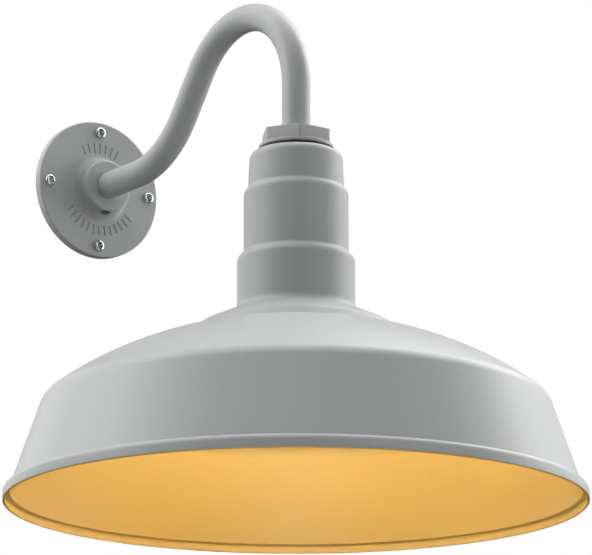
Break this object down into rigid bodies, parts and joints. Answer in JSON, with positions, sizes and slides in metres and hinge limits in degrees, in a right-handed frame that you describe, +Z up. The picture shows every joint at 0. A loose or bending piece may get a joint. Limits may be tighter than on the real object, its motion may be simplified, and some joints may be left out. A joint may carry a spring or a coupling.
{
  "type": "outdoor wall lantern",
  "caption": "Gooseneck outdoor wall light: round cast wall plate, bent tube arm, stepped neck and a wide grey metal shade with amber inside.",
  "frame": {"origin": "centre of the wall plate's circle, on the wall face", "axes": "+Y into the wall, -Y out into the room towards the shade, +Z up, +X to the right of someone facing the wall"},
  "size_m": [0.4299, 0.5024, 0.4021],
  "materials": {
    "grey_powder_coat": "satin light grey powder coat",
    "grey_enamel_shade": "satin light grey outside, amber enamel inside",
    "amber_enamel": "semi-gloss amber enamel",
    "black_rubber": "matt black",
    "zinc_screws": "bright zinc plate",
    "black_oxide_steel": "black oxide",
    "green_screw": "green lacquer",
    "black_nylon": "moulded black nylon",
    "glass_sleeving": "woven glass sleeving",
    "zinc_steel": "zinc plated pressed steel",
    "white_porcelain": "white glaze",
    "nickel_brass": "nickel plated brass",
    "brass": "plain brass",
    "black_insulation": "black wire insulation",
    "white_insulation": "white wire insulation",
    "opal_glass": "soft white inside frost",
    "black_glass": "black glass insulator",
    "solder": "tinned solder",
    "clear_glass": "clear stem glass",
    "filament_wire": "tungsten and nickel wire"
  },
  "bodies": {
    "wall_mount": {"wall_plate": "grey_powder_coat", "wall_gasket": "black_rubber", "plate_screws": "zinc_screws", "hub_set_screw": "black_oxide_steel", "ground_screw": "green_screw"},
    "arm": {"arm_tube": "grey_powder_coat", "arm_lead_sleeve": "glass_sleeving", "arm_bushings": "black_nylon", "locknut": "grey_powder_coat", "neck_washer": "black_rubber"},
    "head": {"neck": "grey_powder_coat", "collar_gasket": "black_rubber", "shade": "grey_enamel_shade", "clamp_ring": "amber_enamel", "clamp_screws": "zinc_screws", "bracket_posts": "zinc_steel", "socket_bracket": "zinc_steel", "bracket_screws": "zinc_screws", "socket_screws": "zinc_screws", "socket_body": "white_porcelain", "screw_shell": "nickel_brass", "center_contact": "brass", "socket_terminals": "brass", "socket_lead_sleeve": "glass_sleeving", "lead_black": "black_insulation", "lead_white": "white_insulation"},
    "bulb": {"bulb_glass": "opal_glass", "bulb_cap": "nickel_brass", "bulb_insulator": "black_glass", "bulb_contact": "solder", "bulb_stem": "clear_glass", "bulb_filament": "filament_wire"}
  },
  "joints": [
    {"name": "arm_aim", "type": "hinge", "parent": "wall_mount", "child": "arm", "pos_m": [0, 0, 0], "axis": [0, 1, 0], "range_deg": [-15, 15]},
    {"name": "head_turn", "type": "hinge", "parent": "arm", "child": "head", "pos_m": [0, -0.2785, -0.2], "axis": [0, 0, 1], "range_deg": [-170, 170]},
    {"name": "bulb_out", "type": "slide", "parent": "head", "child": "bulb", "axis": [0, 0, -1], "range_m": [0, 0.045]}
  ]
}
